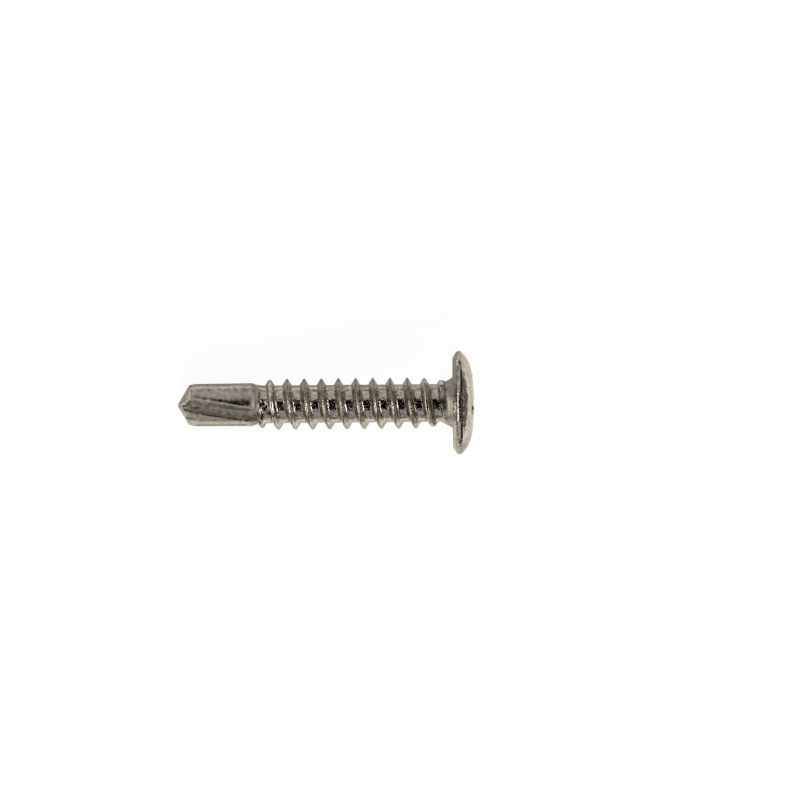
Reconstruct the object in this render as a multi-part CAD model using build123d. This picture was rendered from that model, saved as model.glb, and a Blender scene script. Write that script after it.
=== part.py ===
from build123d import *
from math import asin, atan2, ceil, cos, degrees, hypot, radians, sin, sqrt, tan
import os

# Self drilling screw in one solid: low crowned head, cross recess, single start thread, fluted drill point.
# The screw is modelled upright, with the drill's tip at the origin and the head at the top. It is then laid
# down on its drill and the rim of its head, as it comes to rest on a table. Millimetres and degrees.

# shank
LENGTH = 25.4  # from the tip to the bearing face
ROOT_DIAMETER = 3.5

# drill
DRILL_DIAMETER = 3.91
DRILL_REAR_DIAMETER = 3.97
DRILL_LENGTH = 6.93
BEVEL_LENGTH = 1.53  # from the tip to where the drill has its diameter
BEVEL_ANGLE = 14
POINT_HALF_ANGLE = 58.5
POINT_LEAN = 6  # each half of the point leans by this, so that it falls away behind its lip
TIP_FLAT = 0.3
STEP_DIAMETER = 3.72  # where the steep part of the step down to the root ends
STEP_LENGTH = 0.2
STEP_FADE = 0.7

# flutes
FLUTE_LEAD = 62
FLUTE_LENGTH = 6.14  # from the tip to where the floor starts to rise
FLUTE_RISE_ANGLE = 38
FLUTE_OPENING = 44  # from the cutting edge to the heel, at the drill's surface
FLUTE_FOOT = 0.8  # from the axis to the foot of the cutting face
FLUTE_CORNER_RADIUS = 0.3
HEEL_WIDTH = 0.2
HEEL_RADIUS = 0.35
HEEL_SLOPE = 30  # between the heel and the drill's surface

# thread
PITCH = 1.5875  # sixteen turns to the inch
MAJOR_DIAMETER = 4.74
FLANK_ANGLE = 31
CREST = 0.12  # the crest's width
THREAD_START = 7.23
THREAD_TURN = 74  # where round the screw the thread starts
START_DIAMETER = 4.3
START_RISE = 0.4  # the steep part of the start, up to its diameter
START_FADE = 2.0  # from there to the full thread
END_FADE = 3.25  # the stretch below the head where the thread gets lower
END_DIAMETER = 3.8
RIDGE_SUNK = 0.12  # how far the thread's ridge reaches into the root

# neck
NECK_LENGTH = 1.15
NECK_DIAMETER = 4.35
FLARE_LENGTH = 0.28
FLARE_DIAMETER = 4.8

# head
HEAD_DIAMETER = 9.6
HEAD_HEIGHT = 1.95
RIM_HEIGHT = 0.63  # from the bearing face to the widest part
RIM_RADIUS = 0.25
UNDER_RADIUS = 0.45  # of the rim below its widest part
UNDER_ANGLE = 60  # how far the rim's underside leans from the axis, where it leaves the bearing face
SHOULDER_RADIUS = 3.0
CROWN_RADIUS = 20

# recess
RECESS_SPAN = 5.4  # across two wings, where they meet the crown
RECESS_WING = 0.97
RECESS_DEPTH = 1.9
RECESS_END_ANGLE = 26.5
RECESS_FLOOR_DROP = 0.35
RECESS_CORNER_RADIUS = 0.3
RECESS_TURN = 15

CLEAR = 1.0  # how far a cutting solid reaches past what it cuts
NODE = "self_drilling_screw"


def revolved(*outline):
    """A solid turned round the upright axis, from edges given as radius and height."""
    return revolve(Plane.XZ * make_face(outline), Axis.Z)


def bearing(start, end):
    """The direction of one point from another."""
    return degrees(atan2(end[1] - start[1], end[0] - start[0]))


def rim_centre(radius):
    """The centre of a rounding of the rim that reaches its widest part."""
    return (HEAD_DIAMETER / 2 - radius, LENGTH + RIM_HEIGHT)


def shoulder_centre(crown, rim):
    """The centre of the arc that runs smoothly from the rim's circle into the crown's."""
    across = rim[0] - crown[0]
    up = rim[1] - crown[1]
    apart = hypot(across, up)
    to_crown = CROWN_RADIUS - SHOULDER_RADIUS
    to_rim = SHOULDER_RADIUS - RIM_RADIUS
    along = (to_crown**2 - to_rim**2 + apart**2) / (2 * apart)
    aside = sqrt(to_crown**2 - along**2)
    return (
        crown[0] + (along * across - aside * up) / apart,
        crown[1] + (along * up + aside * across) / apart,
    )


def head_arcs():
    """The head's outline: round the rim, over the shoulder and up the crown to the axis."""
    rim = rim_centre(RIM_RADIUS)
    crown = (0, LENGTH + HEAD_HEIGHT - CROWN_RADIUS)
    shoulder = shoulder_centre(crown, rim)
    rim_end = bearing(shoulder, rim)
    shoulder_end = bearing(crown, shoulder)
    return [
        CenterArc(rim_centre(UNDER_RADIUS), UNDER_RADIUS, -UNDER_ANGLE, UNDER_ANGLE),
        CenterArc(rim, RIM_RADIUS, 0, rim_end),
        CenterArc(shoulder, SHOULDER_RADIUS, rim_end, shoulder_end - rim_end),
        CenterArc(crown, CROWN_RADIUS, shoulder_end, 90 - shoulder_end),
    ]


def blank():
    """The turned form: drill, root of the thread, neck and head."""
    arcs = head_arcs()
    rim = arcs[0] @ 0
    face_edge = rim.X - (rim.Y - LENGTH) * tan(radians(UNDER_ANGLE))
    step = DRILL_LENGTH + STEP_LENGTH
    stem = Polyline(
        (0, 0),
        (DRILL_DIAMETER / 2 - BEVEL_LENGTH * tan(radians(BEVEL_ANGLE)), 0),
        (DRILL_DIAMETER / 2, BEVEL_LENGTH),
        (DRILL_REAR_DIAMETER / 2, DRILL_LENGTH),
        (STEP_DIAMETER / 2, step),
        (ROOT_DIAMETER / 2, step + STEP_FADE),
        (ROOT_DIAMETER / 2, LENGTH - NECK_LENGTH),
        (NECK_DIAMETER / 2, LENGTH - FLARE_LENGTH),
        (FLARE_DIAMETER / 2, LENGTH),
        (face_edge, LENGTH),
        rim,
    )
    return revolved(stem, *arcs, Line(arcs[-1] @ 1, (0, 0)))


def point_cutter():
    """What is taken off one half of the point: all of that half outside a cone that leans to its lip."""
    reach = DRILL_DIAMETER
    spread = tan(radians(POINT_HALF_ANGLE))
    lean = (0, sin(radians(POINT_LEAN)), cos(radians(POINT_LEAN)))
    cone = Solid.make_cone(0, reach * spread, reach, Plane((0, 0, -TIP_FLAT / 2 / spread), z_dir=lean))
    half = Pos(-reach / 2, 0, 0) * Box(reach, 2 * reach, reach)
    return half - cone


def helix(radius, height):
    """One turn of an edge of the thread's ridge, from the given height."""
    return Pos(0, 0, height) * Edge.make_helix(PITCH, PITCH, radius)


def ridge(turn):
    """One turn of the thread before it is shaped: four helical faces and two flat ends."""
    inner = ROOT_DIAMETER / 2 - RIDGE_SUNK
    outer = MAJOR_DIAMETER / 2
    half_crest = CREST / 2
    half_base = half_crest + (outer - inner) * tan(radians(FLANK_ANGLE))
    corners = ((inner, -half_base), (outer, -half_crest), (outer, half_crest), (inner, half_base))
    start = THREAD_START + turn * PITCH
    edges = [helix(radius, start + height) for radius, height in corners]
    faces = [Face.make_surface_from_curves(a, b) for a, b in zip(edges, edges[1:] + edges[:1])]
    faces += [Face(Wire.make_polygon([edge @ end for edge in edges])) for end in (0, 1)]
    return Rot(0, 0, THREAD_TURN) * Solid(Shell(faces))


def thread():
    """The turns in one, rising steeply behind the drill and getting lower towards the head."""
    first, *others = [ridge(turn) for turn in range(ceil((LENGTH - THREAD_START) / PITCH))]
    sunk = ROOT_DIAMETER / 2 - RIDGE_SUNK
    full = MAJOR_DIAMETER / 2 + RIDGE_SUNK
    rise_end = THREAD_START + START_RISE
    top = LENGTH + RIM_HEIGHT / 2
    envelope = Polyline(
        (0, THREAD_START - PITCH),
        (sunk, THREAD_START - PITCH),
        (sunk, THREAD_START),
        (START_DIAMETER / 2, rise_end),
        (MAJOR_DIAMETER / 2, rise_end + START_FADE),
        (full, rise_end + START_FADE + PITCH),
        (full, LENGTH - END_FADE - PITCH),
        (MAJOR_DIAMETER / 2, LENGTH - END_FADE),
        (END_DIAMETER / 2, top),
        (0, top),
        close=True,
    )
    return first.fuse(*others) & revolved(envelope)


def flute_section():
    """Across a flute, with its cutting face on +Y: a wall, and a floor that rises to a heel and rolls over it."""
    far = MAJOR_DIAMETER
    edge = DRILL_DIAMETER / 2
    opening = radians(FLUTE_OPENING)
    slope = opening - radians(HEEL_SLOPE)
    heel = Vector(edge * sin(opening), edge * cos(opening))
    run = Vector(cos(slope), -sin(slope))
    sides = FilletPolyline(
        (0, far),
        (0, FLUTE_FOOT),
        heel - run * HEEL_WIDTH,
        heel + run * far / 2,
        radius=(FLUTE_CORNER_RADIUS, HEEL_RADIUS),
    )
    return make_face([sides, Polyline(sides @ 1, (far, far), sides @ 0)])


def flute_cutter():
    """One flute, centred on +Y where the drill first has its diameter, with a floor that rises at its end."""
    start = -CLEAR
    end = FLUTE_LENGTH + DRILL_REAR_DIAMETER / tan(radians(FLUTE_RISE_ANGLE))
    twist = 360 * (end - start) / FLUTE_LEAD
    first = FLUTE_OPENING / 2 + 360 * (start - BEVEL_LENGTH) / FLUTE_LEAD
    section = Pos(0, 0, start) * Rot(0, 0, first) * flute_section()
    twisted = Solid.extrude_linear_with_rotation(section.face(), (0, 0, start), (0, 0, end - start), twist)
    floor = Polyline(
        (0, FLUTE_LENGTH),
        (FLUTE_FOOT, FLUTE_LENGTH),
        (FLUTE_FOOT + DRILL_REAR_DIAMETER, end),
        (FLUTE_FOOT + DRILL_REAR_DIAMETER, end + CLEAR),
        (0, end + CLEAR),
        close=True,
    )
    return twisted - revolved(floor)


def recess_cutter():
    """The cross recess: a filleted cross with sloping ends and a floor that falls to the middle."""
    top = LENGTH + HEAD_HEIGHT + CLEAR
    depth = RECESS_DEPTH + CLEAR
    bar = Rectangle(2 * RECESS_SPAN, RECESS_WING)
    cross = bar + Rot(0, 0, 90) * bar
    inner = cross.vertices().sort_by_distance((0, 0))[:4]
    prism = extrude(fillet(inner, RECESS_CORNER_RADIUS), -depth - RECESS_FLOOR_DROP)
    slope = tan(radians(RECESS_END_ANGLE))
    crown_fall = CROWN_RADIUS - sqrt(CROWN_RADIUS**2 - RECESS_SPAN**2 / 4)
    width = RECESS_SPAN + 2 * (CLEAR + crown_fall) * slope
    ends = extrude(Rectangle(width, width), -depth, taper=RECESS_END_ANGLE)
    floor = width / 2 - depth * slope
    tip = Polyline((0, -depth), (floor, -depth), (0, -depth - RECESS_FLOOR_DROP), close=True)
    return Pos(0, 0, top) * Rot(0, 0, RECESS_TURN) * (prism & (ends + revolved(tip)))


def screw():
    """The whole screw, upright."""
    body = blank()
    for turn in (0, 180):
        body -= Rot(0, 0, turn) * point_cutter()
    body += thread()
    for turn in (0, 180):
        body -= Rot(0, 0, turn) * flute_cutter()
    return body - recess_cutter()


def table():
    """The plane that the upright screw would touch with both edges of the flute on -Y, and its head's rim."""
    rim = rim_centre(UNDER_RADIUS)
    drill = DRILL_DIAMETER / 2 * cos(radians(FLUTE_OPENING / 2))
    run = rim[1] - BEVEL_LENGTH
    rise = rim[0] - drill
    tilt = atan2(rise, run) + asin(UNDER_RADIUS / hypot(rise, run))
    normal = Vector(0, cos(tilt), sin(tilt))
    middle = Vector(0, 0, (LENGTH + HEAD_HEIGHT) / 2)
    height = normal.dot(middle - Vector(0, -drill, BEVEL_LENGTH))
    return Plane(middle - normal * height, x_dir=(0, -sin(tilt), cos(tilt)), z_dir=normal)


if __name__ == "__main__":
    os.makedirs("parts", exist_ok=True)
    export_step(table().to_local_coords(screw()), f"parts/{NODE}.step")
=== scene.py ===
import math

import bmesh
import bpy
import numpy as np
from mathutils import Matrix, Vector

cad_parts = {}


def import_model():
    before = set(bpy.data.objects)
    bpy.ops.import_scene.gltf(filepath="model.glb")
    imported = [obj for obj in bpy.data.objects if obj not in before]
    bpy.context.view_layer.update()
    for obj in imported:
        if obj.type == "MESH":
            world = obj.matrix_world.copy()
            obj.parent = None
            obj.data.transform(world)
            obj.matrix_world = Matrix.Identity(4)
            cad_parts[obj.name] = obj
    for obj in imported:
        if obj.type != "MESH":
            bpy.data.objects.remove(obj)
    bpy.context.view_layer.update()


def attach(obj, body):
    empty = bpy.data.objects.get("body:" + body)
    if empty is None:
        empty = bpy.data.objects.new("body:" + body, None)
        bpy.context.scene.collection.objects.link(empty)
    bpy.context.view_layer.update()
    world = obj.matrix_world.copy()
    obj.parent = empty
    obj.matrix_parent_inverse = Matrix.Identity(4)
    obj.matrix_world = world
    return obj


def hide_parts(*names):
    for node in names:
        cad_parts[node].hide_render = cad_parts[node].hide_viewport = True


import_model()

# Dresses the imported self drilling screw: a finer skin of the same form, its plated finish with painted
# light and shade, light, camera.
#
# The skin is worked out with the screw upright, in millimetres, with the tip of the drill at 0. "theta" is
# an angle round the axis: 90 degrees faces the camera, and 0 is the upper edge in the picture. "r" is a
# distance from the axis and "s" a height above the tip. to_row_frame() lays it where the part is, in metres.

TAU = 2 * math.pi
NODE = "self_drilling_screw"
TILT = 6.9596  # of the axis, as the screw lies

# The part's own sizes, as its source has them, in millimetres and degrees.

# shank
LENGTH = 25.4  # from the tip to the bearing face
ROOT_RADIUS = 1.75

# drill
DRILL_RADIUS = 1.955
DRILL_REAR_RADIUS = 1.985
DRILL_LENGTH = 6.93
BEVEL_LENGTH = 1.53
BEVEL_FOOT_RADIUS = 1.5735  # the bevel's, carried on to the height of the tip
POINT_HALF_ANGLE = 58.5
POINT_LEAN = 6
TIP_FLAT = 0.3
STEP_RADIUS = 1.86
STEP_LENGTH = 0.2
STEP_FADE = 0.7

# flutes
FLUTE_LEAD = 62
FLUTE_LENGTH = 6.14
FLUTE_RISE_ANGLE = 38
FLUTE_OPENING = 44
FLUTE_FOOT = 0.8
HEEL_WIDTH = 0.2
HEEL_SLOPE = 30

# thread
PITCH = 1.5875
MAJOR_RADIUS = 2.37
FLANK_ANGLE = 31
CREST = 0.12
THREAD_START = 7.23
THREAD_TURN = 74
START_RADIUS = 2.15
START_RISE = 0.4
START_FADE = 2.0
END_FADE = 3.25
END_RADIUS = 1.9
END_TOP = 25.715  # the height at which the ridge is down to that radius
RIDGE_SUNK = 0.12

# neck
NECK_LENGTH = 1.15
NECK_RADIUS = 2.175
FLARE_LENGTH = 0.28
FLARE_RADIUS = 2.4

# head
HEAD_RADIUS = 4.8
HEAD_HEIGHT = 1.95
RIM_HEIGHT = 0.63
RIM_RADIUS = 0.25
UNDER_RADIUS = 0.45
UNDER_ANGLE = 60
SHOULDER_RADIUS = 3.0
CROWN_RADIUS = 20

# recess
RECESS_SPAN = 5.4
RECESS_WING = 0.97
RECESS_DEPTH = 1.9
RECESS_END_ANGLE = 26.5
RECESS_FLOOR_DROP = 0.35
RECESS_CORNER_RADIUS = 0.3
RECESS_TURN = 15


# ---- curves and soft edges ----

def tangent(angle):
    """Of an angle in degrees."""
    return math.tan(math.radians(angle))


def smooth_min(a, b, width):
    share = np.clip(0.5 + 0.5 * (b - a) / width, 0, 1)
    return b + (a - b) * share - width * share * (1 - share)


def smooth_max(a, b, width):
    return -smooth_min(-a, -b, width)


def smoothstep(x, low, high):
    """From 0 at one value to 1 at another, with soft ends."""
    share = np.clip((x - low) / (high - low), 0, 1)
    return share * share * (3 - 2 * share)


def window(x, rise, fall):
    """1 between two soft edges, each given as the value where it starts and the one where it is done."""
    return smoothstep(x, *rise) * (1 - smoothstep(x, *fall))


def bell(x, middle, width, power=2):
    """1 at a value and falling off on both sides of it: the higher the power, the flatter the top."""
    return np.exp(-(((x - middle) / width) ** power))


def unit(vector):
    return vector / np.linalg.norm(vector)


def rounded(points, radii, steps=8):
    """An open polyline with each inner corner replaced by an arc."""
    line = [np.array(points[0], float)]
    for before, corner, after, radius in zip(points, points[1:], points[2:], radii):
        corner = np.array(corner, float)
        back = unit(before - corner)
        ahead = unit(after - corner)
        half = math.acos(np.clip(back @ ahead, -1, 1)) / 2
        away = radius / math.tan(half)
        middle = corner + unit(back + ahead) * radius / math.sin(half)
        start = corner + back * away - middle
        end = corner + ahead * away - middle
        for share in np.linspace(0, 1, steps + 1):
            line.append(middle + unit(start * (1 - share) + end * share) * radius)
    line.append(np.array(points[-1], float))
    return np.array(line)


def resampled(points, count):
    """Evenly spaced points along a polyline."""
    lengths = np.linalg.norm(np.diff(points, axis=0), axis=1)
    along = np.concatenate([[0], np.cumsum(lengths)])
    at = np.linspace(0, along[-1], count)
    return np.stack([np.interp(at, along, values) for values in points.T], axis=1)


def arc(centre, radius, start, end, count):
    """Points along an arc, from one angle in radians to another."""
    angles = np.linspace(start, end, count)
    return np.stack([centre[0] + radius * np.cos(angles), centre[1] + radius * np.sin(angles)], axis=1)


def bearing(start, end):
    """The direction of one point from another."""
    return math.atan2(end[1] - start[1], end[0] - start[0])


# ---- the turned body and the thread, as a radius over angle and height ----

# The body's profile, with its bevel, its step and its neck, and how high the thread's ridge may be.
BODY_PROFILE = [
    (0, BEVEL_FOOT_RADIUS),
    (BEVEL_LENGTH, DRILL_RADIUS),
    (DRILL_LENGTH, DRILL_REAR_RADIUS),
    (DRILL_LENGTH + STEP_LENGTH, STEP_RADIUS),
    (DRILL_LENGTH + STEP_LENGTH + STEP_FADE, ROOT_RADIUS),
    (LENGTH - NECK_LENGTH, ROOT_RADIUS),
    (LENGTH - FLARE_LENGTH, NECK_RADIUS),
    (LENGTH, FLARE_RADIUS),
]
RIDGE_PROFILE = [
    (THREAD_START, ROOT_RADIUS - RIDGE_SUNK),
    (THREAD_START + START_RISE, START_RADIUS),
    (THREAD_START + START_RISE + START_FADE, MAJOR_RADIUS),
    (LENGTH - END_FADE, MAJOR_RADIUS),
    (END_TOP, END_RADIUS),
]
PROFILE_STEP = 0.01
PROFILE_MARGINS = (-1, 2)  # how far the softened profiles reach past the tip and the bearing face


def softened(profile, half_width):
    """A profile with its corners averaged over a short length, as heights and radii."""
    heights = np.arange(PROFILE_MARGINS[0], LENGTH + PROFILE_MARGINS[1], PROFILE_STEP)
    radii = np.interp(heights, *zip(*profile))
    kernel = np.bartlett(int(half_width / PROFILE_STEP) * 2 + 1)
    padded = np.pad(radii, len(kernel) // 2, mode="edge")
    return heights, np.convolve(padded, kernel / kernel.sum(), mode="valid")


BODY = softened(BODY_PROFILE, half_width=0.12)
RIDGE_TOP = softened(RIDGE_PROFILE, half_width=0.15)
RIDGE_TOP_LIFT = 0.02  # makes up for what the blend takes off
RIDGE_TOP_BLEND = 0.08

# What rolling left on the thread: crests bevelled towards the tip, and a little more metal at the foot of
# the flank on the head's side, mostly on the sides that face the camera and the table.
CREST_LEAN = 28
CREST_LIFT = 0.01
CREST_BLEND = 0.02
FLANK_BLEND = 0.06
ROOT_BLENDS = (0.06, 0.03)  # on the head's side and on the tip's side
FLANK_FOOT = CREST / 2 + (MAJOR_RADIUS - ROOT_RADIUS) * tangent(FLANK_ANGLE)
FOOT_WIDTH = 0.08
FOOT_LEAN = 25
FOOT_SWELL = 1.6  # of that width towards the two sides
FOOT_OFFSET = -0.3  # of it all round
FOOT_ENDS = (8.2, 24.4)
FOOT_BLEND = 0.03

# The thread's near side lies nearer to the tip than an even helix by this, once it has fully set in.
SWAY = 0.19
SWAY_START = (7.5, 9)


def sway(theta, s):
    """How much nearer to the tip the thread lies than an even helix."""
    return SWAY * np.maximum(np.sin(theta), 0) * smoothstep(s, *SWAY_START)


def from_crest(theta, s):
    """How far along the axis a place is from the nearest crest: above 0 on the head's side of it."""
    turn = (s + sway(theta, s) - THREAD_START) / PITCH - (theta - math.radians(THREAD_TURN)) / TAU
    return (turn - np.round(turn)) * PITCH


def ridge_radius(off, s):
    """The thread's ridge: two flanks under a bevelled crest, no higher than its profile lets it be."""
    flanks = MAJOR_RADIUS + (CREST / 2 - np.abs(off)) / tangent(FLANK_ANGLE)
    crest = smooth_min(MAJOR_RADIUS, MAJOR_RADIUS + CREST_LIFT + off * tangent(CREST_LEAN), CREST_BLEND)
    ridge = smooth_min(flanks, crest, FLANK_BLEND)
    return smooth_min(ridge, np.interp(s, *RIDGE_TOP) + RIDGE_TOP_LIFT, RIDGE_TOP_BLEND)


def foot_radius(theta, off, s):
    """The extra metal at the foot of the flank, and 0 where there is none."""
    width = FOOT_WIDTH * np.minimum(FOOT_SWELL * np.abs(np.sin(theta)) + FOOT_OFFSET, 1)
    foot = ROOT_RADIUS + (width + FLANK_FOOT - np.abs(off)) * tangent(FOOT_LEAN)
    return np.where((off > 0) & (s > FOOT_ENDS[0]) & (s < FOOT_ENDS[1]), foot, 0)


def threaded_radius(theta, s):
    """The turned body with its thread, but without its flutes."""
    off = from_crest(theta, s)
    outer = smooth_max(np.interp(s, *BODY), ridge_radius(off, s), np.where(off > 0, *ROOT_BLENDS))
    return smooth_max(outer, foot_radius(theta, off, s), FOOT_BLEND)


# ---- the drill's two flutes ----

HALVES = (0, math.pi)  # where the flutes are, as angles back from the first one
FLUTE_CORNER_RADII = (0.4, 0.6)  # at the foot of the wall and at the heel
WALL_REACH = 2.6  # from the axis to where the wall's line starts, outside the drill
HEEL_REACH = 1.2  # from the heel to where its line ends, outside the drill
WALL_LEAN = 0.0201  # radians, spread over the floor's line so that each angle meets it once
FLUTE_POINTS = 400
WALL_MARGIN = 0.5  # an angle this far ahead of a wall still belongs to its flute
OUTSIDE = 9  # a radius beyond everything
RISE_BLEND = 0.1
LIP_BLEND = 0.03
HEEL_BLEND = 0.13  # added to it between these angles from the wall
HEEL_BLEND_ANGLES = (0.3, 0.6), (1.2, 1.6)


def flute_line():
    """A flute's floor as angles from its cutting wall and radii, from the wall round to the heel."""
    opening = math.radians(FLUTE_OPENING)
    slope = opening - math.radians(HEEL_SLOPE)
    heel = np.array((DRILL_RADIUS * math.sin(opening), DRILL_RADIUS * math.cos(opening)))
    run = np.array((math.cos(slope), -math.sin(slope)))
    corners = [(0, WALL_REACH), (0, FLUTE_FOOT), heel - run * HEEL_WIDTH, heel + run * HEEL_REACH]
    line = resampled(rounded(corners, FLUTE_CORNER_RADII), FLUTE_POINTS)
    angles = np.arctan2(line[:, 0], line[:, 1]) + np.linspace(0, WALL_LEAN, len(line))
    return np.maximum.accumulate(angles), np.hypot(*line.T)


FLUTE_LINE = flute_line()


def wall_angle(s):
    """Where the first flute's cutting wall is, at a height."""
    return math.radians(90 + FLUTE_OPENING / 2) + TAU * (s - BEVEL_LENGTH) / FLUTE_LEAD


def from_wall(theta, s, half):
    """The angle from the cutting wall of one of the flutes, back round to a place."""
    return np.mod(wall_angle(s) - half - theta + WALL_MARGIN, TAU) - WALL_MARGIN


def flute_radius(angle, s):
    """A flute's floor, which rises out of the drill at its end."""
    rise = FLUTE_FOOT + np.maximum(s - FLUTE_LENGTH, 0) * tangent(FLUTE_RISE_ANGLE)
    rise = np.where(s > FLUTE_LENGTH, rise, 0)
    return smooth_max(np.interp(angle, *FLUTE_LINE, left=OUTSIDE, right=OUTSIDE), rise, RISE_BLEND)


def skin_radius(theta, s):
    outer = threaded_radius(theta, s)
    for half in HALVES:
        angle = from_wall(theta, s, half)
        blend = LIP_BLEND + HEEL_BLEND * window(angle, *HEEL_BLEND_ANGLES)
        outer = smooth_min(outer, flute_radius(angle, s), blend)
    return outer


# ---- columns of points round the screw: crowded in the flutes, evenly spread in the thread ----

FLUTE_COLUMNS = 40
LAND_COLUMNS = 60
COLUMNS = 2 * (FLUTE_COLUMNS + LAND_COLUMNS)
FLUTE_EDGE = 2.0  # the flutes' columns reach out to this radius
ANGLE_WEIGHT = 1.2  # millimetres to the radian, where columns are spaced along a flute's floor
COLUMNS_SPREAD = (8.4, 9.8)  # where the columns go over from one spacing to the other
TWIST_END = 8.6  # up to here the columns turn with the flutes


def column_angles():
    """Each column's angle back from the first cutting wall, in the drill and in the thread."""
    angles, radii = FLUTE_LINE
    inside = radii < FLUTE_EDGE
    line = np.stack([angles[inside] * ANGLE_WEIGHT, radii[inside]], axis=1)
    flute = resampled(line, FLUTE_COLUMNS)[:, 0] / ANGLE_WEIGHT
    land = np.linspace(flute[-1], math.pi + flute[0], LAND_COLUMNS + 2)[1:-1]
    drill = np.concatenate([flute, land, flute + math.pi, land + math.pi])
    even = np.arange(COLUMNS) * TAU / COLUMNS
    return drill, even + np.mean(drill - even)


DRILL_COLUMNS, EVEN_COLUMNS = column_angles()


def column_theta(s, columns=slice(None)):
    mix = smoothstep(s, *COLUMNS_SPREAD)
    back = DRILL_COLUMNS[columns] * (1 - mix) + EVEN_COLUMNS[columns] * mix
    return wall_angle(np.minimum(s, TWIST_END)) - back


def on_skin(theta, s):
    r = skin_radius(theta, s)
    return np.stack([r * np.cos(theta), r * np.sin(theta), s], axis=-1)


def level_row(s):
    """A row of points at one height."""
    heights = np.full(COLUMNS, s)
    return on_skin(column_theta(heights), heights)


# ---- rows of the drill and of the thread ----

TIP_BLEND = 0.02
POINT_RINGS = 12
POINT_CROWDING = 0.9  # below 1, the point's rings crowd towards its edge
EDGE_GUESS = 0.5  # the first guess at the height of the point's edge
EDGE_TRIES = 40
BEVEL_ROWS = (0.04, 0.1, 0.2, 0.35, 0.5, 0.66, 0.83, 1)  # shares of the way from the point's edge to its end
DRILL_ROWS = 27
DRILL_ROWS_END = 6.83
STEP_ROWS = (6.89, 6.95, 7.01, 7.07, 7.12)
THREAD_ROWS_ENDS = (7.17, 24.85)
THREAD_ROWS_MARGIN = 0.02
THREAD_TURNS = np.arange(-4, 18)
THREAD_ROWS = (0.03, 0.055, 0.09, 0.14, 0.2, 0.26, 0.32, 0.37, 0.42, 0.48, 0.56, 0.67)  # from a crest
BETWEEN_CRESTS = 0.8
CROSSING_TRIES = 12
NECK_ROWS = (24.93, 25.02, 25.1, 25.17, 25.25, 25.33)


def point_height(x, y):
    """Height of the drill's point: two halves of cones that lean towards their lips."""
    y = np.where(x < 0, y, -y)
    spread = math.cos(math.radians(POINT_HALF_ANGLE)) ** 2
    lean_sin = math.sin(math.radians(POINT_LEAN))
    lean_cos = math.cos(math.radians(POINT_LEAN))
    # the height z solves a * z * z + 2 * b * z + c = 0
    a = lean_cos**2 - spread
    b = y * lean_sin * lean_cos
    c = y * y * lean_sin**2 - spread * (x * x + y * y)
    z = (-b + np.sqrt(np.maximum(b * b - a * c, 0))) / a
    return smooth_max(z - TIP_FLAT / 2 / tangent(POINT_HALF_ANGLE), 0, TIP_BLEND)


def point_edge():
    """For each column, the height at which the point meets the drill's side."""
    s = np.full(COLUMNS, EDGE_GUESS)
    for _ in range(EDGE_TRIES):
        place = on_skin(column_theta(s), s)
        s = point_height(place[:, 0], place[:, 1])
    return s


def point_rows():
    """Rows from the middle of the point out to its edge, then along the drill to the end of the bevel."""
    s = point_edge()
    edge = on_skin(column_theta(s), s)
    rows = []
    for share in np.linspace(0, 1, POINT_RINGS + 1)[1:] ** POINT_CROWDING:
        x = edge[:, 0] * share
        y = edge[:, 1] * share
        rows.append(np.stack([x, y, point_height(x, y)], axis=1))
    for share in BEVEL_ROWS:
        heights = s + (BEVEL_LENGTH - s) * share
        rows.append(on_skin(column_theta(heights), heights))
    return rows


def drill_rows():
    """Rows from the end of the bevel to the start of the thread."""
    even = np.linspace(BEVEL_LENGTH, DRILL_ROWS_END, DRILL_ROWS + 1)[1:]
    return [level_row(s) for s in (*even, *STEP_ROWS, THREAD_ROWS_ENDS[0])]


def neck_rows():
    return [level_row(s) for s in (THREAD_ROWS_ENDS[1], *NECK_ROWS)]


def thread_chain(column):
    """One column's points along the thread, where the rows that wind with the thread cross it."""
    offsets = np.array([0, *THREAD_ROWS, *(-up for up in THREAD_ROWS), BETWEEN_CRESTS])
    starts = (THREAD_TURNS[:, None] * PITCH + offsets[None, :]).ravel()
    s = THREAD_START + starts
    for _ in range(CROSSING_TRIES):
        theta = column_theta(s, column)
        s = THREAD_START + starts + PITCH * (theta - math.radians(THREAD_TURN)) / TAU - sway(theta, s)
    low = THREAD_ROWS_ENDS[0] + THREAD_ROWS_MARGIN
    high = THREAD_ROWS_ENDS[1] - THREAD_ROWS_MARGIN
    s = np.sort(s[(s > low) & (s < high)])
    return on_skin(column_theta(s, column), s)


# ---- the head ----

FACE_RINGS = 9
UNDER_CONE_RINGS = 2
CROWN_RING = 3.35  # the smallest round ring of the crown, outside the recess
CROWN_FALL = CROWN_RADIUS - math.sqrt(CROWN_RADIUS**2 - RECESS_SPAN**2 / 4)  # at the ends of the wings
FLOOR_SPAN = RECESS_SPAN - 2 * (RECESS_DEPTH - CROWN_FALL) * tangent(RECESS_END_ANGLE)
RECESS_BASE = LENGTH + HEAD_HEIGHT - RECESS_DEPTH
END_POINTS = 5  # along half of a wing's end
SIDE_POINTS = 14  # along a wing's side
CORNER_POINTS = 12  # round the corner between two wings
BURR_HEIGHT = 0.015  # of the recess's edge all round
BURR_RIPPLE = 0.035  # of its highest places above that
BURR_PITCH = 0.8

# Rows of the recess: over the crown as shares of the way to its mouth and of the burr's height, at the
# mouth's edge as a share of the way back and of the burr, down the walls, and over the floor.
CROWN_ROWS = ((0.2, 0), (0.4, 0), (0.6, 0), (0.78, 0), (0.86, 0.15), (0.91, 0.7), (0.96, 1))
EDGE_ROW = (0.008, 0.5)
EDGE_DROP = 0.05  # of the row just below the edge, which rounds it
WALL_ROWS = (0.12, 0.3, 0.5, 0.7, 0.88, 1)
FLOOR_ROWS = (0.06, 0.2, 0.4, 0.6, 0.8)


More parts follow.
